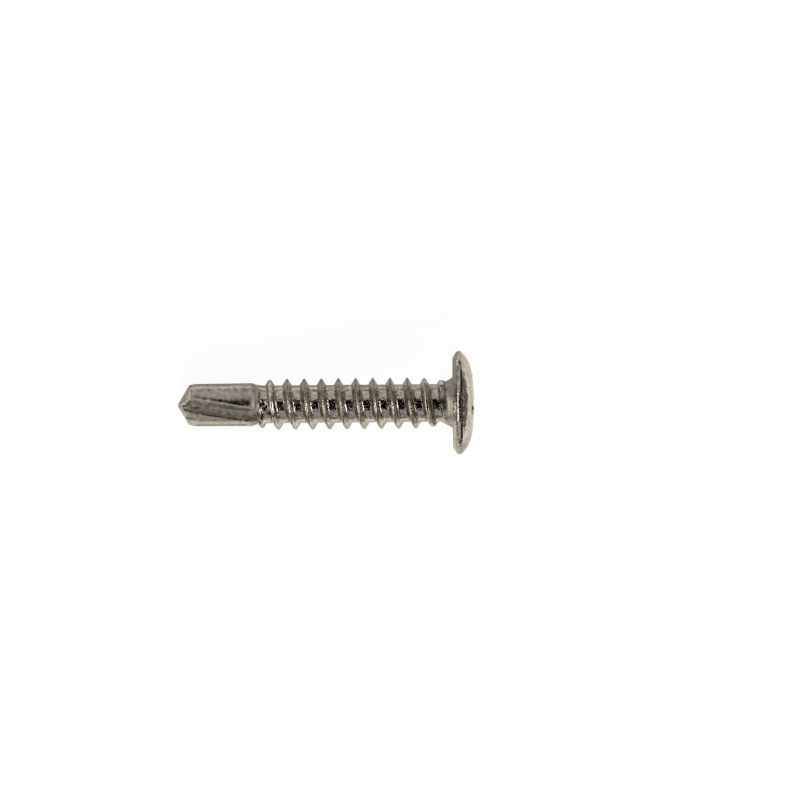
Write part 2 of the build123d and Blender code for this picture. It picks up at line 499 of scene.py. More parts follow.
def shoulder_centre(crown, rim):
    """The centre of the arc that runs smoothly from the rim's circle into the crown's."""
    apart = np.linalg.norm(rim - crown)
    to_crown = CROWN_RADIUS - SHOULDER_RADIUS
    to_rim = SHOULDER_RADIUS - RIM_RADIUS
    along = (to_crown**2 - to_rim**2 + apart**2) / (2 * apart)
    aside = math.sqrt(to_crown**2 - along**2)
    across, up = (rim - crown) / apart
    return crown + np.array((along * across - aside * up, along * up + aside * across))


def head_profile():
    """Radius and height of the head from the neck out under the rim, round it and up over the crown."""
    rim = np.array((HEAD_RADIUS - RIM_RADIUS, LENGTH + RIM_HEIGHT))
    under = np.array((HEAD_RADIUS - UNDER_RADIUS, LENGTH + RIM_HEIGHT))
    crown = np.array((0, LENGTH + HEAD_HEIGHT - CROWN_RADIUS))
    shoulder = shoulder_centre(crown, rim)
    rim_end = bearing(shoulder, rim)
    shoulder_end = bearing(crown, shoulder)
    underside = arc(under, UNDER_RADIUS, -math.radians(UNDER_ANGLE), 0, count=12)
    face_edge = underside[0, 0] - (underside[0, 1] - LENGTH) * tangent(UNDER_ANGLE)
    return np.concatenate([
        [(r, LENGTH) for r in np.linspace(FLARE_RADIUS, face_edge, FACE_RINGS)],
        np.linspace((face_edge, LENGTH), underside[0], UNDER_CONE_RINGS + 2)[1:-1],
        underside,
        arc(rim, RIM_RADIUS, 0, rim_end, count=12)[1:],
        arc(shoulder, SHOULDER_RADIUS, rim_end, shoulder_end, count=20)[1:],
        arc(crown, CROWN_RADIUS, shoulder_end, math.pi / 2, count=60)[1:],
    ])


HEAD = head_profile()


def crown_height(r):
    """The height of the head's upper side, without its recess."""
    top = HEAD[HEAD[:, 1] > LENGTH + RIM_HEIGHT]
    order = np.argsort(top[:, 0])
    return np.interp(r, top[order, 0], top[order, 1])


def floor_height(place):
    """The height of the recess's floor, which is lowest in its middle."""
    inward = np.clip(1 - np.hypot(*place.T) / (FLOOR_SPAN / 2), 0, 1)
    return RECESS_BASE - RECESS_FLOOR_DROP * inward


def shares(count):
    """Even shares of a stretch, from its start and short of its end."""
    return np.linspace(0, 1, count + 1)[:-1]


def turned(angle):
    """The matrix that turns points in rows by an angle in radians."""
    return np.array([[math.cos(angle), math.sin(angle)], [-math.sin(angle), math.cos(angle)]])


def cross_outline(span):
    """The recess's cross, counterclockwise from a wing's middle, with one point for each column."""
    wing = RECESS_WING / 2
    reach = span / 2
    corner = wing + RECESS_CORNER_RADIUS
    quarter = np.array([
        *((reach, wing * share) for share in shares(END_POINTS)),
        *((reach + (corner - reach) * share, wing) for share in shares(SIDE_POINTS)),
        *arc((corner, corner), RECESS_CORNER_RADIUS, -math.pi / 2, -math.pi, CORNER_POINTS + 1)[:-1],
        *((wing, corner + (reach - corner) * share) for share in shares(SIDE_POINTS)),
        *((wing * (1 - share), reach) for share in shares(END_POINTS)),
    ])
    return np.concatenate([quarter @ turned(k * math.pi / 2) for k in range(4)])


def recess_outlines(theta):
    """The recess's outline at the crown and at its floor, in the order of the columns."""
    turn = math.radians(RECESS_TURN)
    first = int(round(((theta[0] - turn) % TAU) / TAU * COLUMNS))
    order = (first - np.arange(COLUMNS)) % COLUMNS
    return [cross_outline(span)[order] @ turned(turn) for span in (RECESS_SPAN, FLOOR_SPAN)]


def ring_rows(theta):
    """Round rows from the bearing face, over the rim and up the crown."""
    rows = []
    for r, z in HEAD:
        if z > LENGTH + RIM_HEIGHT and r < CROWN_RING:
            break
        rows.append(np.stack([r * np.cos(theta), r * np.sin(theta), np.full(COLUMNS, z)], axis=1))
    return rows


def crown_rows(ring, mouth, burr):
    """Rows from the crown's last ring in to the recess's mouth, over its burr and just past its edge."""
    rows = []
    for share, lift in CROWN_ROWS:
        place = ring * (1 - share) + mouth * share
        rows.append(np.column_stack([place, crown_height(np.hypot(*place.T)) + burr * lift]))
    edge_height = crown_height(np.hypot(*mouth.T))
    outward, lift = EDGE_ROW
    rows.append(np.column_stack([mouth + (ring - mouth) * outward, edge_height + lift * burr]))
    rows.append(np.column_stack([mouth, edge_height - EDGE_DROP]))
    return rows


def recess_rows(mouth, top, foot):
    """Rows down the recess's walls and in over its floor."""
    rows = []
    for share in WALL_ROWS:
        place = mouth * (1 - share) + foot * share
        rows.append(np.column_stack([place, top * (1 - share) + floor_height(foot) * share]))
    for share in FLOOR_ROWS:
        place = foot * (1 - share)
        rows.append(np.column_stack([place, floor_height(place)]))
    return rows


def head_rows(theta):
    """Rows over the head, from the bearing face to the recess's floor."""
    rings = ring_rows(theta)
    mouth, foot = recess_outlines(theta)
    burr = BURR_HEIGHT + BURR_RIPPLE * np.maximum(0, ripples(theta, 3 * theta, BURR_PITCH))
    crown = crown_rows(rings[-1][:, :2], mouth, burr)
    return rings + crown + recess_rows(mouth, crown[-1][:, 2], foot)


# ---- putting the skin together ----

def neighbours(ring):
    """Each item of a ring with the one after it."""
    return zip(ring, ring[1:] + ring[:1])


def band(low, high):
    """Faces between two rows."""
    sides = zip(neighbours(low), neighbours(high))
    return [(here, beside, above_beside, above) for (here, beside), (above, above_beside) in sides]


def zipped(left, right, places):
    """Triangles between two chains of points, each across the shorter of two ways on."""
    faces = []
    left = list(left)
    right = list(right)
    while len(left) > 1 or len(right) > 1:
        on_left = on_right = np.inf
        if len(left) > 1:
            on_left = np.sum((places[left[1]] - places[right[0]]) ** 2)
        if len(right) > 1:
            on_right = np.sum((places[right[1]] - places[left[0]]) ** 2)
        if on_left < on_right:
            faces.append((left[0], right[0], left[1]))
            left.pop(0)
        else:
            faces.append((left[0], right[0], right[1]))
            right.pop(0)
    return faces


def build_skin():
    """The skin's points, and its faces as numbers of points."""
    points = []

    def add(row):
        points.extend(row)
        return list(range(len(points) - len(row), len(points)))

    tip = add([(0, 0, float(point_height(0.0, 0.0)))])[0]
    lower = [add(row) for row in point_rows() + drill_rows()]
    chains = [[start] + add(thread_chain(column)) for column, start in enumerate(lower[-1])]
    head_theta = column_theta(np.full(COLUMNS, THREAD_ROWS_ENDS[1]))
    upper = [add(row) for row in neck_rows() + head_rows(head_theta)]
    chains = [chain + [end] for chain, end in zip(chains, upper[0])]
    middle = add([(0, 0, RECESS_BASE - RECESS_FLOOR_DROP)])[0]
    places = np.array(points)

    faces = [(tip, beside, here) for here, beside in neighbours(lower[0])]
    for rows in (lower, upper):
        for low, high in zip(rows, rows[1:]):
            faces += band(low, high)
    faces += [(middle, here, beside) for here, beside in neighbours(upper[-1])]
    for left, right in neighbours(chains):
        faces += zipped(left, right, places)
    return places, faces


def to_row_frame(points):
    """From the upright screw's millimetres to where it lies, in metres, resting on its lowest points."""
    tilt = math.radians(TILT)
    along = np.array((0, -math.sin(tilt), math.cos(tilt)))
    across = np.array((1.0, 0, 0))
    up = np.array((0, math.cos(tilt), math.sin(tilt)))
    centred = points - np.array((0, 0, (LENGTH + HEAD_HEIGHT) / 2))
    laid = np.stack([centred @ along, centred @ across, centred @ up], axis=1)
    laid[:, 2] -= laid[:, 2].min()
    return laid / 1000


# ---- wear ----

AROUND_WEIGHT = 1.9  # millimetres to the radian, near the surface of the drill and of the shank
SPOT_SOFTNESS = (0.4, 1.0)  # where a spot starts to fade and where it is gone, as shares of its size

# Spots on the skin, each as its place in degrees and millimetres and its size round and along the screw.
DIMPLE = (88, 7.92), (0.42, 0.34)
RAGGED = (126, 7.55), (0.55, 0.7)
TORN = (118, 8.65), (0.3, 0.75)
# The lip's spot is no wear: it only marks where a shadow behind the lip is painted.
LIP_SHADE = (103, 1.75), (0.22, 0.6)
CROWN_DENT = (99, 2.75), (0.8, 0.8)  # on the crown, where the second number is the radius

DIMPLE_DEPTH = 0.1
RAGGED_RIPPLE = 0.1
RAGGED_DEPTH = 0.04
RAGGED_PITCH = 0.42
TORN_SHARE = 0.7  # of how rough the ragged place is
CROWN_DENT_DEPTH = 0.08
CROWN_DENT_START = (LENGTH + 1.2, LENGTH + 1.6)
NEAR_AXIS = 1e-6


def cylindrical(points):
    """Angle, radius and height of each point."""
    return np.arctan2(points[:, 1], points[:, 0]), np.hypot(points[:, 0], points[:, 1]), points[:, 2]


def around(theta, s, place, size):
    """A soft spot: 1 in its middle, 0 beyond its edge."""
    angle = (theta - math.radians(place[0]) + math.pi) % TAU - math.pi
    away = np.hypot(angle * AROUND_WEIGHT / size[0], (s - place[1]) / size[1])
    return 1 - smoothstep(away, *SPOT_SOFTNESS)


def ripples(theta, s, pitch):
    """Irregular bumps between -1 and 1, of about the given size: crossed waves."""
    u = theta * AROUND_WEIGHT / pitch
    v = s / pitch
    coarse = np.sin(2.9 * u + 1.3 * np.sin(2.3 * v + 0.7)) * np.sin(3.1 * v + 1.7 * np.sin(1.9 * u + 2.1))
    fine = np.sin(5.3 * u - 2.1 * v + 0.4) * np.sin(4.7 * v + 1.1 * u + 1.9)
    return 0.65 * coarse + 0.35 * fine


def worn(points):
    """The skin with its burrs and dents."""
    theta, r, s = cylindrical(points)
    rough = np.maximum(around(theta, s, *RAGGED), TORN_SHARE * around(theta, s, *TORN))
    burrs = (RAGGED_RIPPLE * ripples(theta, s, RAGGED_PITCH) - RAGGED_DEPTH) * rough
    change = burrs - DIMPLE_DEPTH * around(theta, s, *DIMPLE)
    scale = np.where(r > NEAR_AXIS, (r + change) / np.maximum(r, NEAR_AXIS), 1)
    result = points.copy()
    result[:, :2] *= scale[:, None]
    result[:, 2] -= CROWN_DENT_DEPTH * around(theta, r, *CROWN_DENT) * smoothstep(s, *CROWN_DENT_START)
    return result


# ---- what the finish is made of: masks that are 1 on a part of the screw and fade to 0 off it ----

# Soft edges as where they start and where they are done, in millimetres of height, radius or depth.
DRILL_END = (6.9, 7.3)
STEP = (6.75, 6.9), (7.25, 7.5)
FLUTE_DEPTHS = (0.03, 0.2)
FLUTE_ENDS = (0.6, 1.6), (7.0, 7.6)
SHANK = (7.6, 8.4), (24.0, 24.7)
ROOT_EDGE = (ROOT_RADIUS + 0.1, ROOT_RADIUS + 0.25)
FLANK = (ROOT_RADIUS + 0.15, ROOT_RADIUS + 0.3), (MAJOR_RADIUS - 0.12, MAJOR_RADIUS - 0.04)
CREST_EDGE = (MAJOR_RADIUS - 0.1, MAJOR_RADIUS - 0.02)
FLARE = (24.6, 25.0), (LENGTH, LENGTH + 0.1)
FACE = (LENGTH - 0.05, LENGTH + 0.05), (LENGTH + 0.5, LENGTH + 0.6)
HEAD_START = (LENGTH + 0.1, LENGTH + 0.2)
RIM_EDGE = (HEAD_RADIUS - 0.25, HEAD_RADIUS - 0.14)
SHOULDER = (LENGTH + 0.85, LENGTH + 0.95), (LENGTH + 1.1, LENGTH + 1.4)
CROWN_START = (LENGTH + 1.1, LENGTH + 1.5)

# Sides of the screw. Those towards the upper edge in the picture are given by the cosine of the angle round
# it, those towards the lower edge by minus the cosine, and the side that faces the camera by the angle.
ABOVE = (0.1, 0.5)
BELOW = (0.1, 0.4), (0.75, 0.9)
LOWEST = (0.7, 0.95)
NEAR_ANGLE = math.radians(95)
NEAR_WIDTH = 0.75
CREST_GLINT_ANGLE = math.radians(96)
CREST_GLINT_WIDTH = 0.33

# A line along each heel, as an angle from the cutting wall.
HEEL_LINE_ANGLE = math.radians(FLUTE_OPENING) - 0.02
HEEL_LINE_WIDTH = 0.09


class Masks:
    """Where the skin's points are, and the masks that more than one property of the finish needs."""

    def __init__(self, points):
        theta, r, s = cylindrical(points)
        self.theta, self.r, self.s = theta, r, s
        self.height_off_body = r - np.interp(s, *BODY)
        self.above = smoothstep(np.cos(theta), *ABOVE)
        self.below = window(-np.cos(theta), *BELOW)
        self.lowest = smoothstep(-np.cos(theta), *LOWEST)
        self.near = bell(theta, NEAR_ANGLE, NEAR_WIDTH, power=6)
        self.glinting = bell(theta, CREST_GLINT_ANGLE, CREST_GLINT_WIDTH, power=4)
        self.drill = 1 - smoothstep(s, *DRILL_END)
        self.step = window(s, *STEP)
        self.flute = smoothstep(-self.height_off_body, *FLUTE_DEPTHS) * window(s, *FLUTE_ENDS)
        self.shank = window(s, *SHANK)
        self.root = 1 - smoothstep(r, *ROOT_EDGE)
        self.flank = window(r, *FLANK) * self.shank
        self.crest = smoothstep(r, *CREST_EDGE)
        self.flare = window(s, *FLARE)
        self.face = window(s, *FACE)
        self.head = smoothstep(s, *HEAD_START)
        self.rim = smoothstep(r, *RIM_EDGE) * (s > LENGTH)
        self.shoulder = window(s, *SHOULDER)
        self.crown = smoothstep(s, *CROWN_START)
        self.ragged = np.maximum(around(theta, s, *RAGGED), around(theta, s, *TORN))
        self.wall_angles = [from_wall(theta, s, half) for half in HALVES]


def heel_line(angle):
    return bell(angle, HEEL_LINE_ANGLE, HEEL_LINE_WIDTH)


# ---- polish: how brightly the metal was rolled ----

FLANK_POLISH = 0.35
RIM_POLISH = 0.9
HEAD_POLISH = 0.45
HEEL_POLISH = 0.85
HEEL_POLISH_ENDS = (2.2, 5.5), (6.0, 6.3)


def polish(masks):
    """Brightest in the thread's roots, on its nearest crests, on the rim and where the thread starts."""
    glint = masks.crest * masks.glinting
    rolled = masks.shank * np.maximum(masks.root, FLANK_POLISH + (1 - FLANK_POLISH) * glint)
    result = np.maximum.reduce([rolled, masks.ragged, RIM_POLISH * masks.rim, HEAD_POLISH * masks.head])
    for angle in masks.wall_angles:
        result = np.maximum(result, HEEL_POLISH * heel_line(angle) * window(masks.s, *HEEL_POLISH_ENDS))
    return result * (1 - masks.step * (1 - masks.ragged))


# ---- ground: where the metal is dull, because it was pinched or pressed and not rolled ----

STEP_GROUND = 1.3
FLARE_GROUND = 0.6
HEEL_GROUND_END = (2.0, 5.0)


def ground(masks):
    """Dullest in the flutes, on the drill's rear step and along the front of the heels."""
    result = np.maximum.reduce([masks.flute, STEP_GROUND * masks.step, FLARE_GROUND * masks.flare])
    for angle in masks.wall_angles:
        result = np.maximum(result, heel_line(angle) * (1 - smoothstep(masks.s, *HEEL_GROUND_END)))
    return result


# ---- tone: how light the colour is against the plain plating, which is 1; mostly painted light and shade ----

# What is added for each part: the drill's own darker grey, and painted light and shade elsewhere.
DRILL_ADDS = -0.1
UPPER_DRILL_PAINTED_LIGHT = 0.08
FLUTE_PAINTED_LIGHT = 0.15
FLANK_PAINTED_LIGHT = 0.55
LOWEST_FLANK_PAINTED_SHADE = -0.5
UPPER_ROOT_PAINTED_LIGHT = 0.2
LOWER_ROOT_PAINTED_SHADE = -0.15
FACE_PAINTED_LIGHT = 0.12
CROWN_PAINTED_LIGHT = 0.11
LOWEST_HEAD_PAINTED_SHADE = -0.34

# The share by which painted shade darkens each detail, and painted light lightens it, against what is round
# it.
CREST_PAINTED_GLINT = 0.6
FAR_CREST_PAINTED_SHADE = 0.3
DIMPLE_PAINTED_SHADE = 0.75
RAGGED_PAINTED_SHADE = 0.7
FLARE_PAINTED_SHADE = 0.2
SHOULDER_PAINTED_LIGHT = 0.4
RECESS_PAINTED_SHADE = 0.75
UPPER_POINT_PAINTED_SHADE = 0.4
OUTLINE_PAINTED_SHADE = 0.5
LOWER_EDGE_LINE_PAINTED_SHADE = 0.65
UPPER_EDGE_LINE_PAINTED_SHADE = 0.25
LIP_SHADE_DARKER = 0.7
HEEL_SIDE_PAINTED_LIGHT = 0.35
LIP_SIDE_PAINTED_SHADE = 0.12
LIP_LINE_PAINTED_SHADE = 0.8
CHISEL_PAINTED_SHADE = 0.75

# Where the details are that have no mask of their own: on the head in millimetres, on the drill in
# millimetres or as the cosine of the angle round it, and in a flute in millimetres or radians from its wall.
# The rim's two lines are painted shade, darkest on the side that faces the camera.
RIM_LINE = (LENGTH + 0.64, LENGTH + 0.7), (LENGTH + 0.8, LENGTH + 0.9)
RIM_LINE_INNER_RADIUS = 4
RIM_LINE_PAINTED_SHADE = (0.15, 0.8)  # all round, and on top of that on the near side
UNDER_LINE = (LENGTH + 0.3, 0.08)
UNDER_LINE_INNER_RADIUS = 4.5
UNDER_LINE_NEAR_WIDTH = 0.65
UNDER_LINE_PAINTED_SHADE = (0.15, 0.7)
RECESS_DEPTHS = (0.03, 0.2)
RECESS_WINGS_LOWEST = LENGTH + 0.05
RECESS_MIDDLE_LOWEST = LENGTH - 0.5
RECESS_MIDDLE_RADIUS = 1.9

POINT_END = (1.2, 1.5)
POINT_SIDE = (0.1, 0.4)
OUTLINE_SIDE = (0.9, 0.98)
OUTLINE_ENDS = (0.1, 0.3), (1.3, 1.5)
# Two painted shade lines along the drill, near its lower and its upper edge in the picture.
LOWER_EDGE_LINE = (math.radians(162), 0.1)  # its angle and its width in radians
LOWER_EDGE_LINE_END = 6.4
UPPER_EDGE_LINE = (math.radians(9), 0.12)
UPPER_EDGE_LINE_END = 6.8

HEEL_SIDE_START = (0.35, 0.7)
HEEL_SIDE_LIMIT = 1
HEEL_SIDE_END = (2.5, 5.5)
LIP_SIDE_END = (0.1, 0.5)
LIP_SIDE_LIMIT = -0.05
LIP_SIDE_START = (1.0, 3.0)
LIP_LINE_WIDTH = 0.03
LIP_LINE_DEPTHS = (-0.25, -0.1)
LIP_LINE_END = 6.6
DASH_PITCHES = (0.5, 0.23)
SHORT_DASHES = 0.5  # how strongly the shorter pitch shows
DASH_EDGE = (-0.5, 0.0)
CHISEL_WIDTH = 0.05
CHISEL_END = 0.8
CHISEL_START_RADII = (0.1, 0.3)


def added_tone(masks):
    """What the parts of the screw add to its tone, or take from it: the drill's own darker grey, and painted
    light and shade on the rest.
    """
    drill = masks.drill * (DRILL_ADDS + UPPER_DRILL_PAINTED_LIGHT * masks.above) + FLUTE_PAINTED_LIGHT * masks.flute
    flank = masks.flank * (FLANK_PAINTED_LIGHT + LOWEST_FLANK_PAINTED_SHADE * masks.lowest)
    root = masks.shank * masks.root * (UPPER_ROOT_PAINTED_LIGHT * masks.above + LOWER_ROOT_PAINTED_SHADE * masks.below)
    head = FACE_PAINTED_LIGHT * masks.face + CROWN_PAINTED_LIGHT * masks.crown + LOWEST_HEAD_PAINTED_SHADE * masks.lowest * masks.head
    return drill + flank + root + head


def thread_tone(masks):
    """A painted glint on the crests towards the camera and painted shade on them elsewhere, and painted
    shade on the dimple and the ragged place where the thread starts.
    """
    crest = masks.crest * masks.shank
    side = (CREST_PAINTED_GLINT + FAR_CREST_PAINTED_SHADE) * masks.glinting - FAR_CREST_PAINTED_SHADE
    dimple = around(masks.theta, masks.s, *DIMPLE)
    return (1 + crest * side) * (1 - DIMPLE_PAINTED_SHADE * dimple) * (1 - RAGGED_PAINTED_SHADE * masks.ragged)


def rim_line_tone(masks):
    """A painted shade line round the rim above its widest part, and one below it, both darkest on the near
    side.
    """
    over = window(masks.s, *RIM_LINE) * (masks.r > RIM_LINE_INNER_RADIUS)
    under = bell(masks.s, *UNDER_LINE) * (masks.r > UNDER_LINE_INNER_RADIUS)
    under_near = bell(masks.theta, NEAR_ANGLE, UNDER_LINE_NEAR_WIDTH, power=4)
    over_tone = 1 - over * (RIM_LINE_PAINTED_SHADE[0] + RIM_LINE_PAINTED_SHADE[1] * masks.near)
    under_tone = 1 - under * (UNDER_LINE_PAINTED_SHADE[0] + UNDER_LINE_PAINTED_SHADE[1] * under_near)
    return over_tone * under_tone


def recess_mask(masks):
    """The recess, from a little below the crown down to its floor."""
    wings = (masks.s > RECESS_WINGS_LOWEST) & (masks.r < RECESS_SPAN / 2)
    middle = (masks.s > RECESS_MIDDLE_LOWEST) & (masks.r < RECESS_MIDDLE_RADIUS)
    return smoothstep(crown_height(masks.r) - masks.s, *RECESS_DEPTHS) * (wings | middle)


def head_tone(masks):
    """Painted shade on the neck's flare and in the rim's lines, painted light on the shoulder's near side,
    and painted shade in the recess.
    """
    flare = 1 - FLARE_PAINTED_SHADE * masks.flare
    shoulder = 1 + SHOULDER_PAINTED_LIGHT * masks.shoulder * masks.near
    recess = 1 - RECESS_PAINTED_SHADE * recess_mask(masks)
    return flare * rim_line_tone(masks) * shoulder * recess


def drill_tone(masks):
    """Painted shade on the upper half of the point, along its upper outline, in a line near each of the
    drill's lower and upper edges, and behind the lip.
    """
    s = masks.s
    upward = np.cos(masks.theta)
    point = (1 - smoothstep(s, *POINT_END)) * smoothstep(upward, *POINT_SIDE) * (1 - masks.flute)
    outline = smoothstep(upward, *OUTLINE_SIDE) * window(s, *OUTLINE_ENDS)
    lower_edge_shade = bell(masks.theta, *LOWER_EDGE_LINE) * (s > BEVEL_LENGTH) * (s < LOWER_EDGE_LINE_END)
    upper_edge_shade = bell(masks.theta, *UPPER_EDGE_LINE) * (s > BEVEL_LENGTH) * (s < UPPER_EDGE_LINE_END)
    shade = around(masks.theta, s, *LIP_SHADE)
    ends = (1 - UPPER_POINT_PAINTED_SHADE * point) * (1 - OUTLINE_PAINTED_SHADE * outline)
    edge_shades = (1 - LOWER_EDGE_LINE_PAINTED_SHADE * lower_edge_shade) * (1 - UPPER_EDGE_LINE_PAINTED_SHADE * upper_edge_shade)
    return ends * edge_shades * (1 - LIP_SHADE_DARKER * shade)


def dashes(s):
    """An uneven row of dashes along the drill."""
    long, short = (ripples(0 * s, s, pitch) for pitch in DASH_PITCHES)
    return smoothstep(long + SHORT_DASHES * short, *DASH_EDGE)


def flute_tone(masks, angle):
    """One flute: painted light by its heel, painted shade by its lip, in dashes on the lip and along the
    chisel edge.
    """
    s = masks.s
    heel_side = smoothstep(angle, *HEEL_SIDE_START) * (angle < HEEL_SIDE_LIMIT)
    heel_side = heel_side * masks.flute * (1 - smoothstep(s, *HEEL_SIDE_END))
    lip_side = (1 - smoothstep(angle, *LIP_SIDE_END)) * (angle > LIP_SIDE_LIMIT)
    lip_side = lip_side * masks.flute * smoothstep(s, *LIP_SIDE_START)
    lip = bell(angle, 0, LIP_LINE_WIDTH) * smoothstep(masks.height_off_body, *LIP_LINE_DEPTHS)
    lip = lip * (s < LIP_LINE_END) * dashes(s)
    chisel = bell(angle * masks.r, 0, CHISEL_WIDTH) * (s < CHISEL_END)
    chisel = chisel * smoothstep(masks.r, *CHISEL_START_RADII)
    sides = (1 + HEEL_SIDE_PAINTED_LIGHT * heel_side) * (1 - LIP_SIDE_PAINTED_SHADE * lip_side)
    return sides * (1 - LIP_LINE_PAINTED_SHADE * lip) * (1 - CHISEL_PAINTED_SHADE * chisel)


def tone(masks):
    result = (1 + added_tone(masks)) * thread_tone(masks) * head_tone(masks) * drill_tone(masks)
    for angle in masks.wall_angles:
        result = result * flute_tone(masks, angle)
    return result


# ---- the screw's mesh ----

MERGE_DISTANCE = 1e-6
SHARP_ANGLE = 38


def paint(draft, name, values):
    """Gives each point of a mesh one value of a named attribute, which the material reads."""
    layer = draft.verts.layers.float.new(name)
    for vert, value in zip(draft.verts, values):
        vert[layer] = value


def make_screw():
    places, faces = build_skin()
    places = worn(places)
    masks = Masks(places)
    mesh = bpy.data.meshes.new("screw_skin")
    mesh.from_pydata(to_row_frame(places).tolist(), [], faces)
    draft = bmesh.new()
    draft.from_mesh(mesh)
    paint(draft, "polish", polish(masks))
    paint(draft, "tone", tone(masks))
    paint(draft, "ground", ground(masks))
    bmesh.ops.remove_doubles(draft, verts=draft.verts, dist=MERGE_DISTANCE)
    bmesh.ops.recalc_face_normals(draft, faces=draft.faces)
    draft.to_mesh(mesh)
    draft.free()
    for polygon in mesh.polygons:
        polygon.use_smooth = True
    mesh.set_sharp_from_angle(angle=math.radians(SHARP_ANGLE))
    screw = bpy.data.objects.new("plated_screw", mesh)
    bpy.context.collection.objects.link(screw)
    return screw


# ---- the material ----

PLATING = (0.42, 0.38, 0.328)
EDGE_TINT = (0.65, 0.61, 0.56, 1)
TO_MILLIMETRES = 1000.0

# Ranges that a value is brought from and to.
NOISE_RANGE = (0.3, 0.7)  # where most of a noise's values are
MOTTLE_LIGHT = (0.7, 1.3)
CLOUDY_LIGHT = (0.88, 1.12)
SPECK_RANGE = (0.62, 0.75)
SPECK_LIGHT = (1.0, 0.6)
POLISH_ROUGHNESS = (0.28, 0.11)
GROUND_ROUGHNESS = 0.3  # added where the metal is ground
MOTTLE_ROUGHNESS = (0.75, 1.25)
POLISH_WAVES = (0.15, 1.0)
PIT_RANGE = (0.6, 0.72)
PIT_DEPTHS = (0.0, -0.2)
PITTED_POLISH = (0.5, 0.9)  # pits show only where the metal was rolled at least this brightly
MOTTLE_RELIEF = 0.3
RELIEF = 6.8e-5  # metres


def node(tree, kind, inputs=None, **settings):
    """A new shader node, with sockets set or linked."""
    made = tree.nodes.new(kind)
    for name, value in settings.items():
        setattr(made, name, value)
    for name, value in (inputs or {}).items():
        if isinstance(value, bpy.types.NodeSocket):
            tree.links.new(value, made.inputs[name])
        else:
            made.inputs[name].default_value = value
    return made


def blank_material(name):
    material = bpy.data.materials.new(name)
    material.use_nodes = True
    return material, material.node_tree, material.node_tree.nodes["Principled BSDF"]


def calculated(tree, operation, a, b):
    return node(tree, "ShaderNodeMath", {0: a, 1: b}, operation=operation).outputs[0]


def product(tree, first, *others):
    for other in others:
        first = calculated(tree, "MULTIPLY", first, other)
    return first


def scaled(tree, vector, scale):
    return node(tree, "ShaderNodeVectorMath", {0: vector, "Scale": scale}, operation="SCALE").outputs[0]


def attribute(tree, name):
    return node(tree, "ShaderNodeAttribute", attribute_name=name).outputs["Fac"]


def noise_of(tree, place, scale, detail=2.0, roughness=0.5, distortion=0.0):
    """A noise's value, with its scale in features to the millimetre."""
    sockets = {"Vector": place, "Scale": scale, "Detail": detail, "Roughness": roughness}
    sockets["Distortion"] = distortion
    return node(tree, "ShaderNodeTexNoise", sockets).outputs["Fac"]


def spread(tree, value, source, target):
    """A value brought from one range to another, and held within it."""
    ends = dict(zip(("From Min", "From Max", "To Min", "To Max"), (*source, *target)))
    return node(tree, "ShaderNodeMapRange", {"Value": value, **ends}).outputs["Result"]


def steel_colour(tree, place, mottle, speck):
    """The plating's colour, lighter and darker with its tone, which is mostly painted light and shade, and
    in clouds, mottles and specks.
    """
    cloudy = noise_of(tree, place, scale=1.3, detail=3.0, roughness=0.55)
    light = product(
        tree,
        spread(tree, mottle, NOISE_RANGE, MOTTLE_LIGHT),
        spread(tree, cloudy, NOISE_RANGE, CLOUDY_LIGHT),
        spread(tree, speck, SPECK_RANGE, SPECK_LIGHT),
        attribute(tree, "tone"),
    )
    return scaled(tree, PLATING, light)


def steel_roughness(tree, mottle, rolled):
    smooth = spread(tree, rolled, (0.0, 1.0), POLISH_ROUGHNESS)
    dull = product(tree, attribute(tree, "ground"), GROUND_ROUGHNESS)
    uneven = spread(tree, mottle, NOISE_RANGE, MOTTLE_ROUGHNESS)
    return product(tree, calculated(tree, "ADD", smooth, dull), uneven)


def steel_relief(tree, place, mottle, speck, rolled):
    """Waves and pits where the metal was rolled, and a shallow mottle everywhere."""
    waves = noise_of(tree, place, scale=2.3, distortion=0.6)
    waves = product(tree, waves, spread(tree, rolled, (0.0, 1.0), POLISH_WAVES))
    pitted = spread(tree, rolled, PITTED_POLISH, (0.0, 1.0))
    pits = product(tree, spread(tree, speck, PIT_RANGE, PIT_DEPTHS), pitted)
    height = calculated(tree, "ADD", waves, product(tree, mottle, MOTTLE_RELIEF))
    height = calculated(tree, "ADD", height, pits)
    sockets = {"Height": height, "Distance": RELIEF, "Strength": 1.0}
    return node(tree, "ShaderNodeBump", sockets).outputs["Normal"]


def plated_steel():
    """Zinc on steel: mottled where it was formed or ground, bright and wavy where it was rolled, with
    painted light and shade from its tone.
    """
    material, tree, shader = blank_material("plated_steel")
    shader.inputs["Metallic"].default_value = 1
    shader.inputs["Specular Tint"].default_value = EDGE_TINT
    place = scaled(tree, node(tree, "ShaderNodeTexCoord").outputs["Object"], TO_MILLIMETRES)
    rolled = attribute(tree, "polish")
    mottle = noise_of(tree, place, scale=2.8)
    speck = noise_of(tree, place, scale=9.0)
    tree.links.new(steel_colour(tree, place, mottle, speck), shader.inputs["Base Color"])
    tree.links.new(steel_roughness(tree, mottle, rolled), shader.inputs["Roughness"])
    tree.links.new(steel_relief(tree, place, mottle, speck, rolled), shader.inputs["Normal"])
    return material


# ---- the studio, in metres ----

FLOOR_REACH = 3
FLOOR_COLOUR = (0.5, 0.5, 0.5, 1)
FLOOR_GLOW = 0.94  # the share of plain white that the camera sees; the rest takes shadow
FLOOR_MIRRORED = 0.06  # the same for the metal

WORLD_COLOUR = (0.7, 0.7, 0.7, 1)

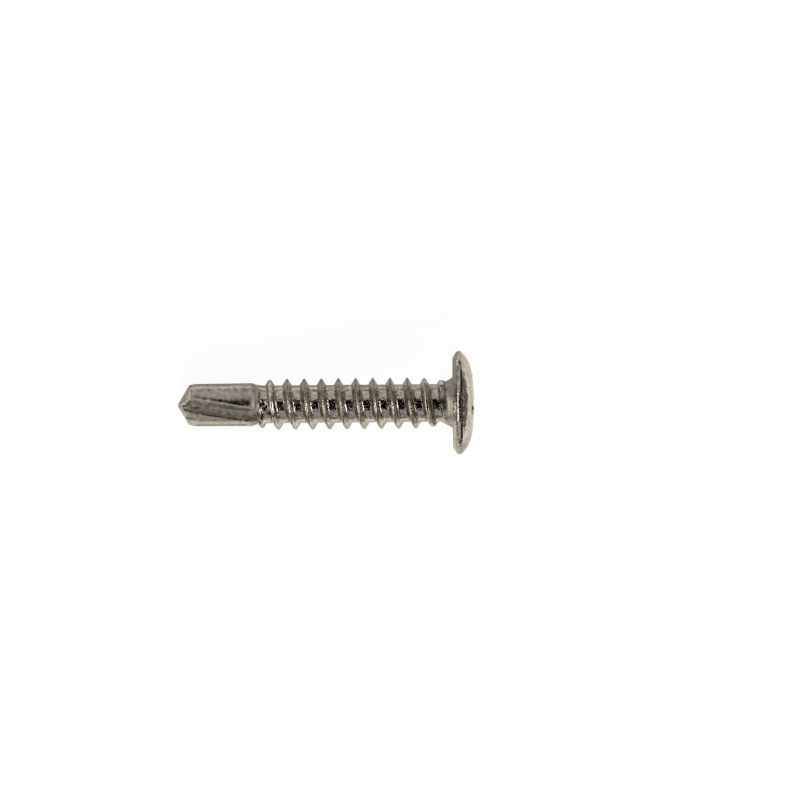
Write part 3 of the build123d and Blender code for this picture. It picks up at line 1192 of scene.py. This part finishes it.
HOOD_HEIGHT = 0.5
HOOD_MIDDLE = (-0.2, -0.078)
HOOD_REACH = (0.42, 0.366)
HOOD_POINTS = 48
CARD_LOW = (-0.035, -0.019)
CARD_HIGH = (0.0345, 0.019)
CARD_CORNER = 0.016
SHEET_REACH = 0.9
SHEET_LIFT = 3e-4
DARK_LEVEL = 0.12
GREY_LEVEL = 0.18
FLAG_DISTANCE = 0.78
FLAG_HALF_ANGLE = 79
FLAG_HEIGHT = 2.5
FLAG_STEPS = 64

LENS = 146.9
CAMERA_CLIP = 0.01
CAMERA_ROLL = 0.53
EYE = (-0.0275, 0.0, 0.304)
TARGET = (0.0068, 0.0003, 0.004)


def stage_mesh(name, points, faces, material):
    mesh = bpy.data.meshes.new(name)
    mesh.from_pydata(points, [], faces)
    mesh.materials.append(material)
    thing = bpy.data.objects.new(name, mesh)
    bpy.context.collection.objects.link(thing)
    return thing


def white_floor():
    """Glows for the camera, which sees nearly plain white with a trace of the screw's shadow."""
    material, tree, shader = blank_material("white_floor")
    shader.inputs["Base Color"].default_value = FLOOR_COLOUR
    shader.inputs["Roughness"].default_value = 1
    shader.inputs["Specular IOR Level"].default_value = 0
    path = node(tree, "ShaderNodeLightPath").outputs
    mirrored = calculated(tree, "MAXIMUM", path["Is Glossy Ray"], path["Is Transmission Ray"])
    mirrored = product(tree, mirrored, FLOOR_MIRRORED)
    seen = product(tree, path["Is Camera Ray"], FLOOR_GLOW)
    share = calculated(tree, "MAXIMUM", seen, mirrored)
    white = node(tree, "ShaderNodeEmission", {"Strength": 1.0}).outputs[0]
    mixed = node(tree, "ShaderNodeMixShader", {"Fac": share, 1: shader.outputs[0], 2: white}).outputs[0]
    tree.links.new(mixed, tree.nodes["Material Output"].inputs["Surface"])
    return material


def floor():
    side = FLOOR_REACH
    corners = [(-side, -side, 0), (side, -side, 0), (side, side, 0), (-side, side, 0)]
    stage_mesh("floor", corners, [(0, 1, 2, 3)], white_floor())


def plain_cloth(name, level):
    """A cloth that looks equally light from everywhere."""
    material = bpy.data.materials.new(name)
    material.use_nodes = True
    tree = material.node_tree
    tree.nodes.remove(tree.nodes["Principled BSDF"])
    glow = node(tree, "ShaderNodeEmission", {"Color": (level, level, level, 1)})
    tree.links.new(glow.outputs[0], tree.nodes["Material Output"].inputs["Surface"])
    return material


def hood():
    """Black and level, round the camera: the dark patches on the metal mirror it."""
    angles = shares(HOOD_POINTS) * TAU
    x = HOOD_MIDDLE[0] + HOOD_REACH[0] * np.cos(angles)
    y = HOOD_MIDDLE[1] + HOOD_REACH[1] * np.sin(angles)
    ring = [(*place, HOOD_HEIGHT) for place in zip(x.tolist(), y.tolist())]
    return stage_mesh("hood", ring, [tuple(range(HOOD_POINTS))], plain_cloth("black_cloth", 0.0))


def card_edge():
    """The edge of the white card that the screw lies on, as far as the metal is concerned."""
    corners = [
        (CARD_HIGH[0], CARD_HIGH[1]),
        (CARD_LOW[0], CARD_HIGH[1]),
        (CARD_LOW[0], CARD_LOW[1]),
        (CARD_HIGH[0], CARD_LOW[1]),
    ]
    edge = []
    for (x, y), start in zip(corners, (0, 90, 180, 270)):
        middle = (x - math.copysign(CARD_CORNER, x), y - math.copysign(CARD_CORNER, y))
        ends = np.radians((start, start + 90))
        edge.extend(arc(middle, CARD_CORNER, *ends, count=13).tolist())
    return edge


def dark_sheet():
    """The floor beyond the white card."""
    inner = card_edge()
    count = len(inner)
    outer = [(SHEET_REACH * x / math.hypot(x, y), SHEET_REACH * y / math.hypot(x, y)) for x, y in inner]
    sheet = [(x, y, SHEET_LIFT) for x, y in inner + outer]
    quads = [(k, (k + 1) % count, count + (k + 1) % count, count + k) for k in range(count)]
    return stage_mesh("dark_sheet", sheet, quads, plain_cloth("dark_cloth", DARK_LEVEL))


def grey_flag():
    """An upright cloth bent round the screw, beyond its head."""
    ends = np.radians((-FLAG_HALF_ANGLE, FLAG_HALF_ANGLE))
    line = arc((0, 0), FLAG_DISTANCE, *ends, count=FLAG_STEPS + 1).tolist()
    points = [(x, y, z) for x, y in line for z in (0.0, FLAG_HEIGHT)]
    quads = [(2 * k, 2 * k + 1, 2 * k + 3, 2 * k + 2) for k in range(FLAG_STEPS)]
    return stage_mesh("grey_flag", points, quads, plain_cloth("grey_cloth", GREY_LEVEL))


def cloths():
    """What only the metal sees."""
    for cloth in (hood(), dark_sheet(), grey_flag()):
        cloth.visible_camera = False
        cloth.visible_diffuse = False
        cloth.visible_shadow = False


def softbox(name, place, size, power):
    """A soft lamp that looks at the screw, with its power in watts."""
    data = bpy.data.lights.new(name, "AREA")
    data.shape = "RECTANGLE"
    data.size, data.size_y = size
    data.energy = power
    lamp = bpy.data.objects.new(name, data)
    bpy.context.collection.objects.link(lamp)
    lamp.location = place
    lamp.rotation_euler = (-Vector(place)).to_track_quat("-Z", "Y").to_euler()
    return lamp


def lamps():
    softbox("key", place=(0.47, -0.08, 0.37), size=(0.5, 0.16), power=2.8)
    softbox("side", place=(-0.6, -0.12, 0.36), size=(0.55, 0.6), power=2.2)
    floor_light = softbox("floor_light", place=(0.05, -0.6, 0.33), size=(0.3, 0.3), power=16.0)
    floor_light.visible_glossy = False  # the metal doesn't mirror it


def world():
    sky = bpy.data.worlds.new("studio")
    bpy.context.scene.world = sky
    sky.use_nodes = True
    sky.node_tree.nodes["Background"].inputs["Color"].default_value = WORLD_COLOUR


def camera():
    data = bpy.data.cameras.new("camera")
    data.lens = LENS
    data.clip_start = CAMERA_CLIP
    viewer = bpy.data.objects.new("camera", data)
    bpy.context.collection.objects.link(viewer)
    eye = Vector(EYE)
    forward = (Vector(TARGET) - eye).normalized()
    roll = math.radians(CAMERA_ROLL)
    right = Vector((math.cos(roll), -math.sin(roll), 0))
    right = (right - forward * right.dot(forward)).normalized()
    up = right.cross(forward)
    viewer.matrix_world = Matrix.Translation(eye) @ Matrix((right, up, -forward)).transposed().to_4x4()
    bpy.context.scene.camera = viewer


screw = make_screw()
screw.data.materials.append(plated_steel())
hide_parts(NODE)
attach(screw, "root")
floor()
cloths()
lamps()
world()
camera()
bpy.context.scene.view_settings.view_transform = "Standard"
